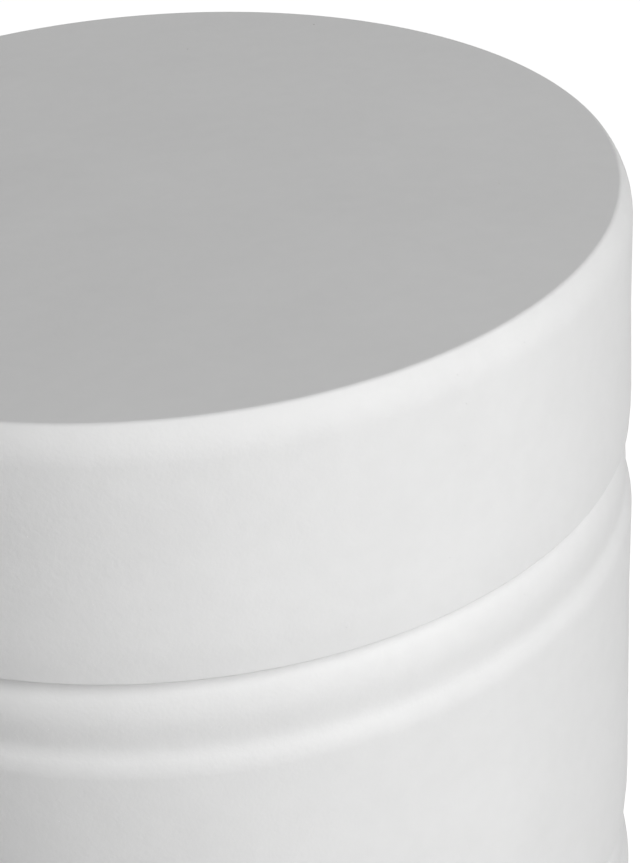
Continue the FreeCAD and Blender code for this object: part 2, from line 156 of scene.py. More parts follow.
class FittingSizes(PropertyGroup):
    """Sizes of the rods, their fastenings and the levelling feet"""

    rod_radius: length("Radius of the rods and studs", 4.0)
    pitch: length("Rise of the thread in one turn", 1.25)
    thread_depth: length("Depth of the thread", 0.7)
    boss_radius: length("Radius of the bosses under the slab", 20.0)
    boss_height: length("Height of the bosses", 26.0)
    ferrule_radius: length("Radius of a ferrule's hole", 8.1)
    ferrule_depth: length("Depth of a ferrule's hole", 30.1)
    recess_radius: length("Radius of the recess round a nut", 14.0)
    recess_depth: length("Depth of the recess round a nut", 12.0)
    rod_hole: length("Radius of a rod's through hole", 5.0)
    pocket_radius: length("Radius of the pocket over a foot", 23.0)
    pocket_depth: length("Depth of the pocket over a foot", 5.0)
    insert_radius: length("Radius of an insert's hole", 7.1)
    insert_depth: length("Depth of an insert's hole", 20.1)
    washer_radius: length("Outside radius of a washer", 12.0)
    washer_hole: length("Radius of a washer's hole", 4.4)
    nut_flats: length("Width of nuts and collars", 13.0)
    nut_bore: length("Radius of a nut's bore", 4.05)
    swivel_radius: length("Radius of the disc under a stud", 8.0)
    swivel: length("Thickness of the disc under a stud", 2.0)
    collar_foot: length("Lower end of a stud's collar", 8.3)
    collar_head: length("Upper end of a stud's collar", 12.0)
    cup_radius: length("Radius of a foot's cup", 19.0)
    cup_rim: length("Height of a cup's rim", 2.5)
    cup_top: length("Radius of a cup's upper edge", 13.0)
    cup_floor: length("Thickness of a cup's floor", 1.4)
    cup_gap: length("Room round the disc in a cup", 0.3)
    sole_radius: length("Radius of a sole", 17.5)
    sole_chamfer: length("Chamfer round a sole", 0.5)
    groove_pitch: length("Distance between a sole's grooves", 2.6)
    groove_depth: length("Depth of a sole's grooves", 0.6)
    rod_chamfer: length("Chamfer at the ends of a thread", 0.8)
    boss_draft: length("How much wider a boss is at the slab", 1.5)
    hole_flare: length("Flare at the mouth of a hole", 0.8)
    edge_round: length("Rounding of the small parts' edges", 0.25)


class Finishes(PropertyGroup):
    """Colours of the table's materials"""

    stone: colour("White cast stone", (0.82, 0.82, 0.818))
    # Painted shade: this dark colour is mixed into the pinholes and pores to stand for the shade
    # inside them; the creases are not darkened
    soil: colour("Dust that stays in pinholes and creases", (0.36, 0.35, 0.33))
    zinc: colour("Zinc-plated steel", (0.60, 0.61, 0.62))
    brass: colour("Turned brass", (0.72, 0.55, 0.28))
    nylon: colour("Moulded nylon of the feet", (0.055, 0.056, 0.058))
    rubber: colour("Soles of the feet", (0.03, 0.03, 0.032))
    bedding: colour("Soft beds in the seams", (0.30, 0.30, 0.29))
    floor: colour("Floor that the table stands on", (0.50, 0.50, 0.50))


class Studio(PropertyGroup):
    """Camera and lamps"""

    camera_place: bpy.props.FloatVectorProperty(
        description="Where the camera stands", default=(0.0655, -0.9495, 0.8940),
        subtype="TRANSLATION")
    pitch: in_degrees("How far the camera looks down", 30.6647)
    roll: in_degrees("How far the camera leans", -3.6784)
    lens: bpy.props.FloatProperty(description="Focal length", default=103.12, unit="CAMERA")
    key_power: in_watts("Power of the large lamp", 199.0)
    key_turn: in_degrees("Turn of the large lamp", 33)
    key_width: length("Width of the large lamp", 2300)
    key_height: length("Height of the large lamp", 5600)
    key_distance: length("Distance of the large lamp", 4600)
    key_rise: in_degrees("Height angle of the large lamp", 30.5)
    rim_power: in_watts("Power of the rear lamp", 2.4)
    rim_turn: in_degrees("Turn of the rear lamp", 178)
    rim_width: length("Width of the rear lamp", 1200)
    rim_distance: length("Distance of the rear lamp", 1600)
    rim_rise: in_degrees("Height angle of the rear lamp", 25)
    floor_reach: length("Half the width of the floor", 9000)
    sky: share("Strength of the light from all round", 0.07)
    floor_glow: share("White added to the seen floor", 0.84)


# Shader and geometry trees

class Wire:
    """An output socket; Python's operators on it add Math nodes."""

    def __init__(self, graph, socket):
        self.graph = graph
        self.socket = socket

    def math(self, operation, *others):
        return self.graph.node("ShaderNodeMath", dict(enumerate((self,) + others)),
                               operation=operation)

    def __add__(self, other):
        return self.math("ADD", other)

    def __sub__(self, other):
        return self.math("SUBTRACT", other)

    def __mul__(self, other):
        return self.math("MULTIPLY", other)

    def __truediv__(self, other):
        return self.math("DIVIDE", other)

    def __rsub__(self, other):
        return self.graph.node("ShaderNodeMath", {0: other, 1: self}, operation="SUBTRACT")

    __radd__ = __add__
    __rmul__ = __mul__

    def clamped(self):
        return self.math("MAXIMUM", 0.0).math("MINIMUM", 1.0)

    def of(self, name):
        """Another output of the same node."""
        return Wire(self.graph, self.socket.node.outputs[name])


class Graph:
    """A node tree that is being built."""

    def __init__(self, tree):
        self.tree = tree

    def node(self, kind, inputs=None, output=0, **settings):
        """A new node with its settings and its inputs' values or wires, as its chosen output."""
        made = self.tree.nodes.new(kind)
        for key, value in settings.items():
            setattr(made, key, value)
        for key, value in (inputs or {}).items():
            for one in value if isinstance(value, list) else [value]:
                if isinstance(one, Wire):
                    self.tree.links.new(one.socket, made.inputs[key])
                else:
                    made.inputs[key].default_value = one
        return Wire(self, made.outputs[output]) if made.outputs else made

    def point(self, x=0.0, y=0.0, z=0.0):
        return self.node("ShaderNodeCombineXYZ", {"X": x, "Y": y, "Z": z})

    def polar(self, radius, angle, height):
        """The point at that radius, angle and height."""
        return self.point(angle.math("COSINE") * radius, angle.math("SINE") * radius, height)

    def split(self, vector):
        return self.node("ShaderNodeSeparateXYZ", {0: vector})


def geometry_tree(name, *labels):
    """A geometry tree with named inputs, as its graph and its input wires."""
    tree = bpy.data.node_groups.new(name, "GeometryNodeTree")
    kinds = {"Shape": "NodeSocketGeometry", "Material": "NodeSocketMaterial",
             "Steps": "NodeSocketInt", "Pieces": "NodeSocketInt", "Seed": "NodeSocketInt"}
    for label in labels:
        kind = kinds.get(label, "NodeSocketFloat")
        tree.interface.new_socket(label, in_out="INPUT", socket_type=kind)
    tree.interface.new_socket("Shape", in_out="OUTPUT", socket_type="NodeSocketGeometry")
    graph = Graph(tree)
    source = graph.node("NodeGroupInput")
    return graph, {label: source.of(label) for label in labels}


def end_tree(graph, mesh, material, sharp=SHARP_CASTING):
    """Smooth faces with sharp edges past that angle in degrees, then the material."""
    smooth = graph.node("GeometryNodeSetShadeSmooth", {0: mesh, "Shade Smooth": True},
                        domain="FACE")
    edges = graph.node("GeometryNodeInputMeshEdgeAngle").math("GREATER_THAN", math.radians(sharp))
    shaded = graph.node("GeometryNodeSetShadeSmooth", {
        0: smooth, "Selection": edges, "Shade Smooth": False}, domain="EDGE")
    real = graph.node("GeometryNodeRealizeInstances", {0: shaded})
    dressed = graph.node("GeometryNodeSetMaterial", {0: real, "Material": material})
    graph.node("NodeGroupOutput", {0: dressed})
    return graph.tree


def wrapped_grid(graph, rows, columns):
    """A grid, with the row of each point and its column, which starts again after a full turn."""
    grid = graph.node("GeometryNodeMeshGrid", {
        "Size X": rows - 1, "Size Y": columns, "Vertices X": rows, "Vertices Y": columns + 1})
    place = graph.split(graph.node("GeometryNodeInputPosition"))
    row = (place.of("X") + (rows - 1) / 2).math("ROUND")
    column = (place.of("Y") + columns / 2).math("ROUND")
    return grid, row, column


def closed_up(graph, grid, place, flip=False):
    """The grid moved to its place, its seam and poles closed."""
    moved = graph.node("GeometryNodeSetPosition", {"Geometry": grid, "Position": place})
    merged = graph.node("GeometryNodeMergeByDistance", {
        "Geometry": moved, "Distance": MERGED})
    return graph.node("GeometryNodeFlipFaces", {0: merged}) if flip else merged


def turned_mesh(graph, outline, steps, unevenness, seed):
    """The closed outline turned about the Z axis, a little uneven, as castings are."""
    points = graph.node("GeometryNodeAttributeDomainSize", {0: outline}, component="MESH")
    grid, row, column = wrapped_grid(graph, points + 1, steps)
    sampled = graph.node("GeometryNodeSampleIndex", {
        0: outline, "Value": graph.node("GeometryNodeInputPosition"),
        "Index": row.math("FLOORED_MODULO", points)}, data_type="FLOAT_VECTOR", domain="POINT")
    spot = graph.split(sampled)
    angle = column.math("FLOORED_MODULO", steps) * math.tau / steps
    noise = graph.node("ShaderNodeTexNoise", {
        "Vector": graph.polar(spot.of("X"), angle, spot.of("Z")), "W": seed,
        "Scale": WANDERS, "Detail": 1.0}, "Color", noise_dimensions="4D")
    wander = graph.split(noise)
    reach = unevenness * 2 * spot.of("X").math("GREATER_THAN", MM)
    radius = spot.of("X") + (wander.of("X") - 0.5) * reach
    height = spot.of("Z") + (wander.of("Y") - 0.5) * reach
    return closed_up(graph, grid, graph.polar(radius, angle, height))


def threaded_mesh(graph, wires):
    """A rod with a helical thread, chamfered at both ends."""
    radius, pitch, foot, head = (wires[label] for label in ("Radius", "Pitch", "Foot", "Head"))
    turns = ((head - foot) / pitch).math("CEIL")
    rows = (turns + 2) * TURN_ROWS + 3
    sides = graph.node("FunctionNodeInputInt", integer=THREAD_SIDES)
    grid, row, column = wrapped_grid(graph, rows, sides)
    angle = column.math("FLOORED_MODULO", THREAD_SIDES) * (math.tau / THREAD_SIDES)
    run = foot + pitch * ((row - 1) / TURN_ROWS - 1 + column / THREAD_SIDES)
    height = run.math("MAXIMUM", foot).math("MINIMUM", head)
    crest = (row - 1).math("FLOORED_MODULO", TURN_ROWS).math("LESS_THAN", CREST_ROWS - 0.5)
    threaded = radius - wires["Depth"] * (1 - crest)
    end = radius - wires["Chamfer"]
    limited = threaded.math("MINIMUM", end + (height - foot))
    limited = limited.math("MINIMUM", end + (head - height))
    ended = row.math("LESS_THAN", 0.5) + row.math("GREATER_THAN", rows - 1.5)
    return closed_up(graph, grid, graph.polar(limited * (1 - ended), angle, height), flip=True)


def column_mesh(graph, radius, foot, head, sides=HOLE_SIDES, radius_at_foot=None):
    """An upright round column between two heights, or a tapered one."""
    column = graph.node("GeometryNodeMeshCone", {
        "Vertices": sides, "Radius Top": radius, "Radius Bottom": radius_at_foot or radius,
        "Depth": head - foot})
    return graph.node("GeometryNodeTransform", {
        0: column, "Translation": graph.point(z=foot)})


def combined(graph, operation, first, *others):
    """The meshes joined (UNION), what they share (INTERSECT), or the first less the others."""
    inputs = {"Mesh 2": [first, *others]}
    if operation == "DIFFERENCE":
        inputs = {"Mesh 2": list(others), "Mesh 1": first}
    return graph.node("GeometryNodeMeshBoolean", inputs, operation=operation, solver="MANIFOLD")


def on_ring(graph, piece, wires):
    """Copies of a piece, evenly on a ring about the Z axis, as one mesh."""
    angle = graph.node("GeometryNodeInputIndex") * math.tau / wires["Pieces"] + wires["Turn"]
    line = graph.node("GeometryNodeMeshLine", {"Count": wires["Pieces"]})
    placed = graph.node("GeometryNodeSetPosition", {
        "Geometry": line, "Position": graph.polar(wires["Ring"], angle, 0.0)})
    copies = graph.node("GeometryNodeInstanceOnPoints", {
        "Points": placed, "Instance": piece, "Rotation": graph.point(z=angle)})
    return graph.node("GeometryNodeRealizeInstances", {0: copies})


RING = ("Pieces", "Ring", "Turn", "Material")


def turned_tree():
    """A turned casting, or turned pieces on a ring."""
    graph, wires = geometry_tree("Turned form", "Shape", "Steps", "Unevenness", "Seed", *RING)
    mesh = turned_mesh(graph, wires["Shape"], wires["Steps"], wires["Unevenness"], wires["Seed"])
    return end_tree(graph, on_ring(graph, mesh, wires), wires["Material"])


def bosses_tree():
    """Round bosses on a casting, evenly on a ring."""
    graph, wires = geometry_tree(
        "Ring of bosses", "Shape", "Radius", "Draft", "Foot", "Head", *RING)
    boss = column_mesh(graph, wires["Radius"] + wires["Draft"], wires["Foot"], wires["Head"],
                       radius_at_foot=wires["Radius"])
    return end_tree(graph, combined(graph, "UNION", wires["Shape"], on_ring(graph, boss, wires)),
                    wires["Material"])


def holes_tree():
    """Holes that are drilled upwards into a casting, evenly on a ring, each with a flared mouth."""
    graph, wires = geometry_tree(
        "Ring of holes", "Shape", "Radius", "Flare", "Foot", "Head", *RING)
    start = wires["Foot"] - OVERRUN
    shaft = column_mesh(graph, wires["Radius"], start, wires["Head"])
    mouth = column_mesh(graph, wires["Radius"], start, wires["Foot"] + wires["Flare"],
                        radius_at_foot=wires["Radius"] + wires["Flare"] + OVERRUN)
    cutters = [on_ring(graph, shaft, wires), on_ring(graph, mouth, wires)]
    drilled = combined(graph, "DIFFERENCE", wires["Shape"], *cutters)
    return end_tree(graph, drilled, wires["Material"])


def threaded_rod_tree():
    """Threaded rods on a ring."""
    graph, wires = geometry_tree(
        "Threaded rod", "Radius", "Pitch", "Depth", "Foot", "Head", "Chamfer", *RING)
    rods = on_ring(graph, threaded_mesh(graph, wires), wires)
    return end_tree(graph, rods, wires["Material"], SHARP_THREAD)


def hexagon_mesh(graph, wires):
    """A hexagonal block, turned down to the outline at its corners."""
    facets = graph.node("FunctionNodeInputInt", integer=NUT_SIDES)
    envelope = turned_mesh(graph, wires["Shape"], facets, facets * 0, 0)
    block = column_mesh(graph, wires["Across Flats"] / math.sqrt(3), wires["Foot"] - OVERRUN,
                        wires["Head"] + OVERRUN, 6)
    return combined(graph, "INTERSECT", block, envelope)


def nut_tree():
    """Hexagonal nuts on a ring."""
    graph, wires = geometry_tree(
        "Nut", "Shape", "Across Flats", "Bore", "Foot", "Head", *RING)
    bore = column_mesh(graph, wires["Bore"], wires["Foot"] - OVERRUN, wires["Head"] + OVERRUN)
    nut = combined(graph, "DIFFERENCE", hexagon_mesh(graph, wires), bore)
    return end_tree(graph, on_ring(graph, nut, wires), wires["Material"], SHARP_NUT)


def stud_tree():
    """Levelling studs on a ring: a hexagonal collar with a thread over it and a disc under it."""
    graph, wires = geometry_tree(
        "Levelling stud", "Shape", "Disc Radius", "Disc Foot", "Disc Head", "Across Flats",
        "Collar Foot", "Collar Head", "Radius", "Pitch", "Depth", "Foot", "Head", "Chamfer",
        *RING)
    thread = threaded_mesh(graph, wires)
    neck = column_mesh(graph, wires["Radius"], wires["Disc Head"] - OVERRUN,
                       wires["Collar Foot"] + OVERRUN)
    disc = column_mesh(graph, wires["Disc Radius"], wires["Disc Foot"], wires["Disc Head"])
    collar = dict(wires, Foot=wires["Collar Foot"], Head=wires["Collar Head"])
    stud = combined(graph, "UNION", thread, hexagon_mesh(graph, collar), neck, disc)
    return end_tree(graph, on_ring(graph, stud, wires), wires["Material"], SHARP_STUD)


# Outlines of turned pieces

HOLD = 0.35 * MM
LONGEST_RUN = 9 * MM
ARC_STEP = math.radians(6)
UPRIGHT_START, UPRIGHT_END, LEVEL_END = range(3)
NUT_END_SHARE = 0.96
NUT_SLOPE = math.radians(30)


class Outline:
    """A closed outline of lines and arcs, as points of radius and height."""

    def __init__(self, radius, height):
        self.points = [(radius, height)]

    def line(self, radius, height):
        """A straight run, held close to its ends so that its shading stays flat."""
        start = self.points[-1]
        run = math.dist(start, (radius, height))
        stops = [1.0]
        if run > 3 * HOLD:
            inner = run - 2 * HOLD
            parts = math.ceil(inner / LONGEST_RUN)
            stops = [(HOLD + inner * part / parts) / run for part in range(parts + 1)] + [1.0]
        for stop in stops:
            self.points.append((start[0] + (radius - start[0]) * stop,
                                start[1] + (height - start[1]) * stop))
        return self

    def arc(self, radius, height, kind):
        """An arc; its centre is level with its start or end, or right over or under its end."""
        start, end = self.points[-1], (radius, height)
        here, there = (start, end) if kind == UPRIGHT_START else (end, start)
        chord = (there[0] - here[0], there[1] - here[1])
        square = chord[0] ** 2 + chord[1] ** 2
        if kind == LEVEL_END:
            centre = (here[0], here[1] + square / (2 * chord[1]))
        else:
            centre = (here[0] + square / (2 * chord[0]), here[1])
        return self.sweep(centre, end)

    def sweep(self, centre, end):
        """The short arc about a centre to an end."""
        start = self.points[-1]
        first = math.atan2(start[1] - centre[1], start[0] - centre[0])
        turn = math.remainder(math.atan2(end[1] - centre[1], end[0] - centre[0]) - first, math.tau)
        reach = math.dist(start, centre)
        steps = max(2, math.ceil(abs(turn) / ARC_STEP))
        for step in range(1, steps):
            angle = first + turn * step / steps
            self.points.append((centre[0] + reach * math.cos(angle),
                                centre[1] + reach * math.sin(angle)))
        self.points.append(end)
        return self

    def step(self, end, first):
        """Two arcs from one upright tangent to another; the first takes that share of the way."""
        start = self.points[-1]
        turn = [start[axis] + (end[axis] - start[axis]) * first for axis in (0, 1)]
        return self.arc(*turn, UPRIGHT_START).arc(*end, UPRIGHT_END)

    def closed(self):
        """The points, clockwise, with the last run back to the start drawn too."""
        points = self.line(*self.points[0]).points[:-1]
        area = sum(one[0] * two[1] - two[0] * one[1]
                   for one, two in zip(points, points[1:] + points[:1]))
        return points if area < 0 else points[::-1]


def path(*spots):
    """A closed outline of straight runs only."""
    outline = Outline(*spots[0])
    for spot in spots[1:]:
        outline.line(*spot)
    return outline.closed()


def rounded_arris(outline, sizes, height):
    """From the middle of the top out to the soft arris and down the curve into the face."""
    arris = sizes.drum_radius - sizes.arris_inset
    foot = (sizes.drum_radius, height - sizes.arris_drop)
    square = sizes.arris_inset ** 2 + sizes.arris_drop ** 2
    reach = square / (2 * sizes.arris_inset)
    centre = (foot[0] - reach, foot[1])
    inner = reach - sizes.arris_round
    rise = height - sizes.arris_round - centre[1]
    heart = (centre[0] + math.sqrt(inner ** 2 - rise ** 2), height - sizes.arris_round)
    leave = tuple(centre[axis] + (heart[axis] - centre[axis]) * reach / inner for axis in (0, 1))
    outline.line(heart[0], height)
    outline.sweep(heart, leave)
    return outline.sweep(centre, foot)


def lower_lip(outline, sizes, face, foot):
    """The face's rounded lower edge and the rebate over the next section's spigot."""
    cavity = sizes.drum_radius - sizes.wall
    rebate = cavity + sizes.spigot + sizes.spigot_gap
    roof = foot + sizes.spigot_height + sizes.bed
    lip = face - sizes.lip_inset
    outline.line(face, foot + sizes.lip_height)
    outline.arc(lip, foot + sizes.lip_round, UPRIGHT_START)
    outline.arc(lip - sizes.lip_round, foot, LEVEL_END)
    return outline.line(rebate, foot).line(rebate, roof).line(cavity, roof)


def upper_moulding(sizes, face, crease):
    """Spigot, crease, bead, cove and roll, down to where the face runs straight."""
    cavity = sizes.drum_radius - sizes.wall
    top = crease + sizes.spigot_height
    ledge = crease - sizes.crease_gap
    crown = (face - sizes.bead_inset, crease - sizes.bead_drop)
    outline = Outline(cavity, top)
    outline.line(cavity + sizes.spigot, top).line(cavity + sizes.spigot, ledge)
    outline.line(sizes.drum_radius - sizes.crease_inset, ledge)
    outline.line(crown[0] - sizes.nose_inset, crown[1] + sizes.nose_height)
    outline.arc(crown[0], crown[1], UPRIGHT_END)
    outline.step((face - sizes.cove_inset, crease - sizes.cove_drop), 1 - sizes.cove_share)
    outline.step((face + sizes.roll_swell, crease - sizes.roll_drop), sizes.cove_share)
    return outline.line(face, crease - sizes.roll_end)


def hexagon_outline(flats, foot, head):
    """What a hexagonal block's corners are turned down to."""
    corner = flats / math.sqrt(3)
    end = flats / 2 * NUT_END_SHARE
    drop = (corner - end) * math.tan(NUT_SLOPE)
    return path((0.0, head), (end, head), (corner, head - drop), (corner, foot + drop),
                (end, foot), (0.0, foot))


# Making pieces

def linked(name, data):
    """A new object in the scene."""
    item = bpy.data.objects.new(name, data)
    bpy.context.scene.collection.objects.link(item)
    return item


def grown(name, points, *steps):
    """A plain mesh piece that geometry trees make, one after another, from a closed outline."""
    chain = bpy.data.meshes.new(name + "_outline")
    count = len(points)
    chain.from_pydata([(radius, 0.0, height) for radius, height in points],
                      [(index, (index + 1) % count) for index in range(count)], [])
    piece = linked(name, chain)
    for tree, values in steps:
        modifier = piece.modifiers.new(tree.name, "NODES")
        modifier.node_group = tree
        for item in tree.interface.items_tree:
            if item.in_out == "INPUT" and item.socket_type != "NodeSocketGeometry":
                modifier[item.identifier] = values[item.name]
    depsgraph = bpy.context.evaluated_depsgraph_get()
    mesh = bpy.data.meshes.new_from_object(piece.evaluated_get(depsgraph), depsgraph=depsgraph)
    mesh.name = name
    piece.modifiers.clear()
    piece.data = mesh
    bpy.data.meshes.remove(chain)
    if not mesh.polygons:
        raise RuntimeError(name + " came out empty")
    return piece


def settled(piece, body, node):
    """The piece rides on its body and stands for its CAD node."""
    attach(piece, body)
    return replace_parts(piece, node)


@functools.cache
def tree_of(maker):
    """The geometry tree that a function makes, made once."""
    return maker()


@functools.cache
def finish_of(maker):
    """The material that a function makes, made once."""
    return maker(bpy.context.scene.accent_finishes)


def on_axis(finish, **more):
    """Ring inputs of a single piece on the table's axis."""
    return dict({"Pieces": 1, "Ring": 0.0, "Turn": 0.0, "Material": finish_of(finish)}, **more)


def on_rods(finish, **more):
    """Ring inputs of a piece at every rod."""
    return on_axis(finish, Pieces=ROD_COUNT, Ring=ring_of("tie_rod_1"), **more)


def on_feet(finish, **more):
    """Ring inputs of a piece at every foot."""
    return on_axis(finish, Pieces=FOOT_COUNT, Ring=ring_of("foot_sole_1"), Turn=FOOT_TURN, **more)


def true_turned(steps, **ring):
    """A turned form without unevenness."""
    return tree_of(turned_tree), dict(Steps=steps, Unevenness=0.0, Seed=0, **ring)


def cast_turned(sizes, seed):
    """A turned casting."""
    return tree_of(turned_tree), on_axis(
        cast_stone, Steps=sizes.turn_steps, Unevenness=sizes.unevenness, Seed=seed)


def holes(radius, flare, foot, head, ring):
    """Drilled holes on a ring."""
    return tree_of(holes_tree), dict(ring, Radius=radius, Flare=flare, Foot=foot, Head=head)


# Materials

WHITE = (1.0, 1.0, 1.0, 1.0)


def opaque(tone):
    return (*tone, 1.0)


def scaled(tone, factor):
    return opaque([min(1.0, part * factor) for part in tone])


def emptied(owner):
    """The node tree of a material or a world, emptied."""
    owner.use_nodes = True
    owner.node_tree.nodes.clear()
    return owner.node_tree


class Skin(Graph):
    """The node tree of a new material, with its patterns in the object's own coordinates."""

    def __init__(self, name):
        self.material = bpy.data.materials.new(name)
        super().__init__(emptied(self.material))

    @functools.cached_property
    def where(self):
        return self.node("ShaderNodeTexCoord").of("Object")

    def noise(self, size, detail=2.0, upright=1.0):
        """Noise round a half, with features of that size in metres, or so much finer upright."""
        where = self.node("ShaderNodeMapping", {
            "Vector": self.where, "Scale": (1.0, 1.0, upright)})
        return self.node("ShaderNodeTexNoise", {
            "Vector": where, "Scale": 1 / size, "Detail": detail})

    def mixed(self, factor, one, other):
        """A colour between two others."""
        return self.node("ShaderNodeMix", {0: factor, 6: one, 7: other}, 2, data_type="RGBA")

    def spots(self, spacing, smallest, largest):
        """Round spots of random radius, one in each cell of that spacing; 1 inside, 0 outside."""
        cells = self.node("ShaderNodeTexVoronoi", {
            "Vector": self.where, "Scale": 1 / spacing})
        chance = self.split(cells.of("Color")).of("X")
        radius = (chance * (largest - smallest) + smallest) / spacing
        return ((radius - cells) * (spacing / (smallest * SOFT_SHARE))).clamped()

    def bumped(self, height, depth, normal=None):
        inputs = {"Height": height, "Distance": depth, "Strength": 1.0}
        if normal is not None:
            inputs["Normal"] = normal
        return self.node("ShaderNodeBump", inputs)

    def ended(self, **inputs):
        """The Principled shader, its sockets' names written with underscores; the material."""
        named = {label.replace("_", " "): value for label, value in inputs.items()}
        shader = self.node("ShaderNodeBsdfPrincipled", named)
        self.node("ShaderNodeOutputMaterial", {"Surface": shader})
        return self.material


# Cast stone: sizes of its patterns, depths of its relief, spacing and least and largest radius
# of its spots, a spot's soft edge as a share of its radius, and how much each pattern shows
CLOUD, TROWEL, MOTTLE, SPECK, GRAIN = 55 * MM, 24 * MM, 9 * MM, 3.2 * MM, 1.4 * MM
TROWEL_DEPTH, SPECK_DEPTH, GRAIN_DEPTH, MARK_DEPTH = 0.10 * MM, 0.08 * MM, 0.06 * MM, 0.5 * MM
TROWEL_UPRIGHT = 2.2
PINHOLES = 38 * MM, 0.12 * MM, 0.60 * MM
PORES = 8 * MM, 0.10 * MM, 0.22 * MM
# The pinholes' share is how strongly the painted shade darkens the pinholes and pores
SOFT_SHARE, PORE_SHARE, PINHOLE_SHADE_SHARE, CLOUD_SHARE, MOTTLE_SHARE = 0.6, 0.35, 0.75, 0.6, 0.35
DARKEST, LIGHTEST = 0.94, 1.05
ROUGH, ROUGH_GRAIN, ROUGH_MOTTLE, ROUGH_MARKS = 0.66, 0.16, 0.10, 0.2
STONE_GLOSS = 0.4


def cast_stone(tones):
    """White cast stone: slow clouds, a fine grain, and pinholes and pores darkened with painted
    shade
    """
    skin = Skin("cast_stone")
    cloud, mottle = skin.noise(CLOUD), skin.noise(MOTTLE, 1.0)
    trowel = skin.noise(TROWEL, 1.0, TROWEL_UPRIGHT)
    speck, grain = skin.noise(SPECK), skin.noise(GRAIN)
    tone = ((cloud - 0.5) * CLOUD_SHARE + (mottle - 0.5) * MOTTLE_SHARE + 0.5).clamped()
    body = skin.mixed(tone, scaled(tones.stone, DARKEST), scaled(tones.stone, LIGHTEST))
    marks = skin.spots(*PINHOLES).math("MAXIMUM", skin.spots(*PORES) * PORE_SHARE)
    # Painted shade: the pinholes and pores are mixed towards a dark colour that stands for the
    # shade inside the holes
    pinhole_shaded = skin.mixed(marks * PINHOLE_SHADE_SHARE, body, opaque(tones.soil))
    normal = skin.bumped(trowel, TROWEL_DEPTH)
    normal = skin.bumped(speck, SPECK_DEPTH, normal)
    normal = skin.bumped(grain, GRAIN_DEPTH, normal)
    normal = skin.bumped(1 - marks, MARK_DEPTH, normal)
    rough = (grain - 0.5) * ROUGH_GRAIN + (mottle - 0.5) * ROUGH_MOTTLE + ROUGH
    return skin.ended(Base_Color=pinhole_shaded, Roughness=rough + marks * ROUGH_MARKS, Normal=normal,
                      Specular_IOR_Level=STONE_GLOSS)


class PlainFinish(NamedTuple):
    """A material with darker and lighter patches and a fine relief"""

    name: str
    tone: str
    dark: float
    light: float
    patch: float
    rough: float
    spread: float
    relief: float
    depth: float
    detail: float = 3.0
    upright: float = 1.0
    metallic: float = 0.0

    def __call__(self, tones):
        skin, tone = Skin(self.name), getattr(tones, self.tone)
        patches = skin.noise(self.patch, self.detail)
        body = skin.mixed(patches, scaled(tone, self.dark), scaled(tone, self.light))
        relief = skin.noise(self.relief, 2.0, self.upright)
        return skin.ended(Base_Color=body, Metallic=self.metallic,
                          Roughness=(patches - 0.5) * self.spread + self.rough,
                          Normal=skin.bumped(relief, self.depth))


soft_bed = PlainFinish("seam_bedding", "bedding", dark=0.75, light=1.2, patch=1.2 * MM,
                       rough=0.9, spread=-0.1, relief=1.2 * MM, depth=0.2 * MM, detail=2.0)
zinc_steel = PlainFinish("zinc_steel", "zinc", dark=0.82, light=1.12, patch=4 * MM,
                         rough=0.36, spread=0.3, relief=1.5 * MM, depth=0.02 * MM,
                         upright=6.0, metallic=1.0)
turned_brass = PlainFinish("turned_brass", "brass", dark=0.7, light=1.1, patch=6 * MM,
                           rough=0.34, spread=0.3, relief=1.2 * MM, depth=0.02 * MM,
                           upright=8.0, metallic=1.0)
moulded_nylon = PlainFinish("moulded_nylon", "nylon", dark=0.8, light=1.5, patch=7 * MM,
                            rough=0.48, spread=0.3, relief=0.7 * MM, depth=0.04 * MM)
sole_rubber = PlainFinish("sole_rubber", "rubber", dark=0.8, light=2.2, patch=8 * MM,
                          rough=0.82, spread=0.2, relief=0.8 * MM, depth=0.06 * MM)


def one_foot(finish, number):
    """Ring inputs of a single piece at that foot."""
    ring = on_feet(finish)
    ring.update(Pieces=1, Turn=FOOT_TURN + math.tau * number / FOOT_COUNT)
    return ring


def foot_pieces(part, finish, points):
    """A turned piece of every foot."""
    for number in range(FOOT_COUNT):
        foot = "foot_%d" % (number + 1)
        form = true_turned(FOOT_SIDES, **one_foot(finish, number))
        settled(grown("%s_%s" % (foot, part), points, form), foot,
                "foot_%s_%d" % (part, number + 1))


def thread_values(parts, foot, head):
    return {"Radius": parts.rod_radius, "Pitch": parts.pitch, "Foot": foot, "Head": head,
            "Depth": parts.thread_depth, "Chamfer": parts.rod_chamfer}


def dress_node(node, finish):
    """Give a CAD node that stays in view its material."""
    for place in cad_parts[node].material_slots:
        place.link = "OBJECT"
        place.material = finish_of(finish)


def seen_directly(graph):
    """1 for what the camera sees, also by reflection, and 0 for light on the object."""
    rays = graph.node("ShaderNodeLightPath")
    direct = rays.of("Is Camera Ray") + rays.of("Is Glossy Ray")
    return (direct + rays.of("Is Transmission Ray")).clamped()


def studio_floor(tones):
    """Pale floor that is white to the camera, but keeps the object's shadow"""
    skin = Skin("studio_floor")
    glow = bpy.context.scene.accent_studio.floor_glow
    plain = skin.node("ShaderNodeBsdfDiffuse", {"Color": opaque(tones.floor)})
    lit = skin.node("ShaderNodeEmission", {"Color": WHITE, "Strength": glow})
    both = skin.node("ShaderNodeAddShader", {0: plain, 1: lit})
    shader = skin.node("ShaderNodeMixShader", {0: seen_directly(skin), 1: plain, 2: both})
    skin.node("ShaderNodeOutputMaterial", {"Surface": shader})
    return skin.material


def area_lamp(name, power, size, aim, distance, turn, rise):
    """An oval lamp that faces its aim from that distance, turned from the front and that far up."""
    lamp = bpy.data.lights.new(name, "AREA")
    lamp.shape = "ELLIPSE"
    lamp.size, lamp.size_y = size
    lamp.energy = power
    item = linked(name, lamp)
    level = Vector((math.sin(turn), -math.cos(turn), 0.0)) * math.cos(rise)
    item.location = aim + (level + Vector((0.0, 0.0, math.sin(rise)))) * distance
    item.rotation_euler = (aim - item.location).to_track_quat("-Z", "Y").to_euler()


# Operators, one for each piece or group of like pieces

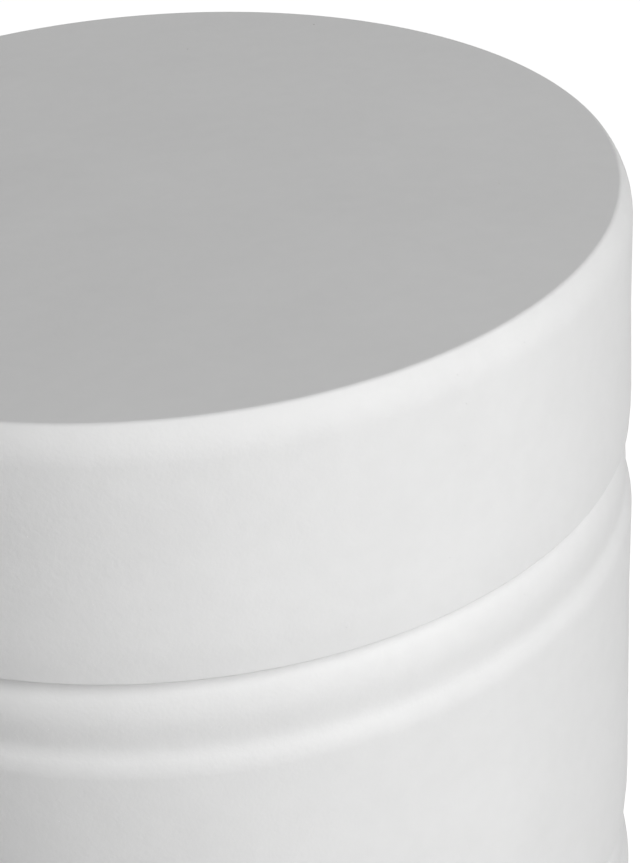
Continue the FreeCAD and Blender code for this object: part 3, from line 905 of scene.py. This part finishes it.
class ACCENT_OT_top_section(Operator):
    """Cast cap with the flat table top, the first band and the bosses for the rods"""

    bl_idname = "accent_table.top_section"
    bl_label = "Top Section"

    def execute(self, context):
        sizes, parts = context.scene.accent_castings, context.scene.accent_fittings
        foot, head = foot_of("top_section"), head_of("top_section")
        ceiling = head - sizes.slab
        cavity = sizes.drum_radius - sizes.wall
        middle = (head - sizes.arris_drop + foot + sizes.lip_height) / 2
        outline = rounded_arris(Outline(0.0, head), sizes, head)
        outline.line(sizes.drum_radius - sizes.waist_depth, middle)
        lower_lip(outline, sizes, sizes.drum_radius, foot)
        outline.line(cavity, ceiling - sizes.inner_corner)
        outline.arc(cavity - sizes.inner_corner, ceiling, UPRIGHT_START).line(0.0, ceiling)
        boss_foot = ceiling - parts.boss_height
        bosses = (tree_of(bosses_tree),
                  on_rods(cast_stone, Radius=parts.boss_radius, Draft=parts.boss_draft,
                          Foot=boss_foot, Head=ceiling + OVERRUN))
        sockets = holes(parts.ferrule_radius, parts.hole_flare, boss_foot,
                        boss_foot + parts.ferrule_depth, on_rods(cast_stone))
        casting = cast_turned(sizes, 1)
        piece = grown("top_casting", outline.closed(), casting, bosses, sockets)
        settled(piece, "root", "top_section")
        return {"FINISHED"}


class ACCENT_OT_middle_section(Operator):
    """Tall cast ring, the second band, with the moulding along its upper edge"""

    bl_idname = "accent_table.middle_section"
    bl_label = "Middle Section"

    def execute(self, context):
        sizes = context.scene.accent_castings
        outline = upper_moulding(sizes, sizes.drum_radius, foot_of("top_section"))
        lower_lip(outline, sizes, sizes.drum_radius, foot_of("middle_section"))
        piece = grown("middle_casting", outline.closed(), cast_turned(sizes, 2))
        settled(piece, "root", "middle_section")
        return {"FINISHED"}


class ACCENT_OT_base_section(Operator):
    """Cast pot with a floor, the third band, with its recesses, pockets and drain"""

    bl_idname = "accent_table.base_section"
    bl_label = "Base Section"

    def execute(self, context):
        sizes, parts = context.scene.accent_castings, context.scene.accent_fittings
        face = sizes.drum_radius + sizes.base_swell
        cavity = sizes.drum_radius - sizes.wall
        foot = foot_of("base_section")
        floor = foot + sizes.floor
        outline = upper_moulding(sizes, face, foot_of("middle_section"))
        outline.line(face, foot + sizes.base_round)
        outline.arc(face - sizes.base_round, foot, UPRIGHT_START)
        outline.line(sizes.drain_radius + parts.hole_flare, foot)
        outline.line(sizes.drain_radius, foot + parts.hole_flare)
        outline.line(sizes.drain_radius, floor)
        outline.line(cavity - sizes.inner_corner, floor)
        outline.arc(cavity, floor + sizes.inner_corner, UPRIGHT_END)
        pocket = foot + parts.pocket_depth
        recess = foot + parts.recess_depth
        socket = pocket + parts.insert_depth
        flare = parts.hole_flare
        rods, feet = on_rods(cast_stone), on_feet(cast_stone)
        piece = grown("base_casting", outline.closed(), cast_turned(sizes, 3),
                      holes(parts.rod_hole, 0.0, foot, floor + OVERRUN, rods),
                      holes(parts.recess_radius, flare, foot, recess, rods),
                      holes(parts.pocket_radius, flare, foot, pocket, feet),
                      holes(parts.insert_radius, 0.0, pocket, socket, feet))
        settled(piece, "root", "base_section")
        return {"FINISHED"}


class ACCENT_OT_seam_beds(Operator):
    """Soft rings that the castings are bedded on"""

    bl_idname = "accent_table.seam_beds"
    bl_label = "Seam Beds"

    def execute(self, context):
        for node in ("upper_seam_bed", "lower_seam_bed"):
            dress_node(node, soft_bed)
        return {"FINISHED"}


class ACCENT_OT_tie_rods(Operator):
    """Threaded rods that clamp the castings together"""

    bl_idname = "accent_table.tie_rods"
    bl_label = "Tie Rods"

    def execute(self, context):
        parts = context.scene.accent_fittings
        for number in range(ROD_COUNT):
            node = "tie_rod_%d" % (number + 1)
            values = dict(thread_values(parts, foot_of(node), head_of(node)),
                          **on_rods(zinc_steel, Turn=math.tau * number / ROD_COUNT))
            values["Pieces"] = 1
            piece = grown("threaded_rod_%d" % (number + 1), [(0.0, 0.0), (MM, 0.0)],
                          (tree_of(threaded_rod_tree), values))
            settled(piece, "root", node)
        return {"FINISHED"}


class ACCENT_OT_rod_fastenings(Operator):
    """Washers, nuts and cast-in ferrules of the rods"""

    bl_idname = "accent_table.rod_fastenings"
    bl_label = "Rod Fastenings"

    def execute(self, context):
        parts = context.scene.accent_fittings
        foot, head = foot_of("rod_washers"), head_of("rod_washers")
        hole, rim, soft = parts.washer_hole, parts.washer_radius, parts.edge_round
        washer = path((hole + soft, head), (rim - soft, head), (rim, head - soft),
                      (rim, foot + soft), (rim - soft, foot), (hole + soft, foot),
                      (hole, foot + soft), (hole, head - soft))
        piece = grown("washers", washer, true_turned(WASHER_SIDES, **on_rods(zinc_steel)))
        settled(piece, "root", "rod_washers")
        foot, head = foot_of("rod_nuts"), head_of("rod_nuts")
        values = on_rods(zinc_steel, Bore=parts.nut_bore, Foot=foot, Head=head)
        values["Across Flats"] = parts.nut_flats
        nut = hexagon_outline(parts.nut_flats, foot, head)
        piece = grown("nuts", nut, (tree_of(nut_tree), values))
        settled(piece, "root", "rod_nuts")
        dress_node("rod_ferrules", zinc_steel)
        return {"FINISHED"}


class ACCENT_OT_foot_inserts(Operator):
    """Threaded inserts that the feet screw into"""

    bl_idname = "accent_table.foot_inserts"
    bl_label = "Foot Inserts"

    def execute(self, context):
        for number in range(FOOT_COUNT):
            dress_node("foot_insert_%d" % (number + 1), turned_brass)
        return {"FINISHED"}


class ACCENT_OT_foot_studs(Operator):
    """Levelling studs, each with a thread, a spanner collar and the disc that turns in the cup"""

    bl_idname = "accent_table.foot_studs"
    bl_label = "Foot Studs"

    def execute(self, context):
        parts = context.scene.accent_fittings
        collar = hexagon_outline(parts.nut_flats, parts.collar_foot, parts.collar_head)
        for number in range(FOOT_COUNT):
            node = "foot_stud_%d" % (number + 1)
            values = one_foot(zinc_steel, number)
            values.update(thread_values(parts, parts.collar_head - OVERRUN, head_of(node)))
            disc_foot = foot_of(node)
            values.update({
                "Disc Radius": parts.swivel_radius, "Disc Foot": disc_foot,
                "Disc Head": disc_foot + parts.swivel, "Across Flats": parts.nut_flats,
                "Collar Foot": parts.collar_foot, "Collar Head": parts.collar_head})
            name = "levelling_stud_%d" % (number + 1)
            piece = grown(name, collar, (tree_of(stud_tree), values))
            settled(piece, "stud_%d" % (number + 1), node)
        return {"FINISHED"}


class ACCENT_OT_foot_cups(Operator):
    """Moulded cups that the studs turn in"""

    bl_idname = "accent_table.foot_cups"
    bl_label = "Foot Cups"

    def execute(self, context):
        parts = context.scene.accent_fittings
        foot, head = foot_of("foot_cup_1"), head_of("foot_cup_1")
        throat = parts.rod_radius + parts.cup_gap
        hollow = parts.swivel_radius + parts.cup_gap
        floor = foot + parts.cup_floor
        ceiling = floor + parts.swivel + parts.cup_gap
        soft = parts.edge_round * 2
        outline = Outline(throat + soft, head).line(parts.cup_top - soft, head)
        outline.line(parts.cup_top + soft / 2, head - soft / 2)
        outline.line(parts.cup_radius - soft, foot + parts.cup_rim + soft / 2)
        outline.arc(parts.cup_radius, foot + parts.cup_rim - soft / 2, UPRIGHT_END)
        outline.line(parts.cup_radius, foot + soft).line(parts.cup_radius - soft, foot)
        outline.line(0.0, foot).line(0.0, floor).line(hollow, floor).line(hollow, ceiling)
        outline.line(throat, ceiling).line(throat, head - soft)
        foot_pieces("cup", moulded_nylon, outline.closed())
        return {"FINISHED"}


class ACCENT_OT_foot_soles(Operator):
    """Soft soles of the feet, grooved on their underside"""

    bl_idname = "accent_table.foot_soles"
    bl_label = "Foot Soles"

    def execute(self, context):
        parts = context.scene.accent_fittings
        foot, head = foot_of("foot_sole_1"), head_of("foot_sole_1")
        rim, cut, depth = parts.sole_radius, parts.sole_chamfer, parts.groove_depth
        corners = [(0.0, head), (rim, head), (rim, foot + cut), (rim - cut, foot)]
        radius = rim - cut - parts.groove_pitch
        while radius > parts.groove_pitch:
            corners += [(radius + depth, foot), (radius + depth / 2, foot + depth),
                        (radius - depth / 2, foot + depth), (radius - depth, foot)]
            radius -= parts.groove_pitch
        corners.append((0.0, foot))
        foot_pieces("sole", sole_rubber, path(*corners))
        return {"FINISHED"}


class ACCENT_OT_stage(Operator):
    """Pale floor, soft light and the camera"""

    bl_idname = "accent_table.stage"
    bl_label = "Stage"

    def execute(self, context):
        studio, scene = context.scene.accent_studio, context.scene
        mesh = bpy.data.meshes.new("studio_floor")
        reach = studio.floor_reach
        corners = [(-reach, -reach, 0), (reach, -reach, 0), (reach, reach, 0), (-reach, reach, 0)]
        mesh.from_pydata(corners, [], [range(len(corners))])
        mesh.materials.append(finish_of(studio_floor))
        floor = linked("studio_floor", mesh)
        world = bpy.data.worlds.new("studio_sky")
        graph = Graph(emptied(world))
        seen = seen_directly(graph)
        light = graph.node("ShaderNodeBackground", {
            "Color": WHITE, "Strength": seen * (1 - studio.sky) + studio.sky})
        graph.node("ShaderNodeOutputWorld", {"Surface": light})
        scene.world = world
        area_lamp("key_lamp", studio.key_power, (studio.key_width, studio.key_height),
                  Vector((0.0, 0.0, head_of("middle_section") / 2)), studio.key_distance,
                  studio.key_turn, studio.key_rise)
        area_lamp("rear_lamp", studio.rim_power, (studio.rim_width, studio.rim_width),
                  Vector((0.0, 0.0, head_of("top_section"))), studio.rim_distance,
                  studio.rim_turn, studio.rim_rise)
        camera = bpy.data.cameras.new("camera")
        camera.lens = studio.lens
        view = linked("camera", camera)
        tilt = Matrix.Rotation(math.radians(90) - studio.pitch, 4, "X")
        lean = Matrix.Rotation(studio.roll, 4, "Z")
        view.matrix_world = Matrix.Translation(studio.camera_place) @ tilt @ lean
        scene.camera = view
        scene.view_settings.view_transform = "Standard"
        return {"FINISHED"}


TOOLS = (ACCENT_OT_top_section, ACCENT_OT_middle_section, ACCENT_OT_base_section,
         ACCENT_OT_seam_beds, ACCENT_OT_tie_rods, ACCENT_OT_rod_fastenings,
         ACCENT_OT_foot_inserts, ACCENT_OT_foot_studs, ACCENT_OT_foot_cups, ACCENT_OT_foot_soles,
         ACCENT_OT_stage)
GROUPS = {"accent_castings": CastingSizes, "accent_fittings": FittingSizes,
          "accent_finishes": Finishes, "accent_studio": Studio}


class ACCENT_PT_panel(bpy.types.Panel):
    """Sizes, colours and tools of the accent table"""

    bl_idname = "ACCENT_PT_panel"
    bl_label = "Accent Table"
    bl_space_type = "VIEW_3D"
    bl_region_type = "UI"
    bl_category = "Accent Table"

    def draw(self, context):
        for name, group in GROUPS.items():
            box = self.layout.box()
            box.label(text=group.__doc__)
            for field in group.__annotations__:
                label = field.replace("_", " ").capitalize()
                box.prop(getattr(context.scene, name), field, text=label)
        for tool in TOOLS:
            self.layout.operator(tool.bl_idname)


def register():
    for cls in (*GROUPS.values(), *TOOLS, ACCENT_PT_panel):
        bpy.utils.register_class(cls)
    for name, group in GROUPS.items():
        setattr(bpy.types.Scene, name, bpy.props.PointerProperty(type=group))


def unregister():
    for name in GROUPS:
        delattr(bpy.types.Scene, name)
    for cls in (ACCENT_PT_panel, *reversed(TOOLS), *reversed(GROUPS.values())):
        bpy.utils.unregister_class(cls)


def main():
    register()
    for tool in TOOLS:
        area, name = tool.bl_idname.split(".")
        getattr(getattr(bpy.ops, area), name)()


if __name__ == "__main__":
    main()
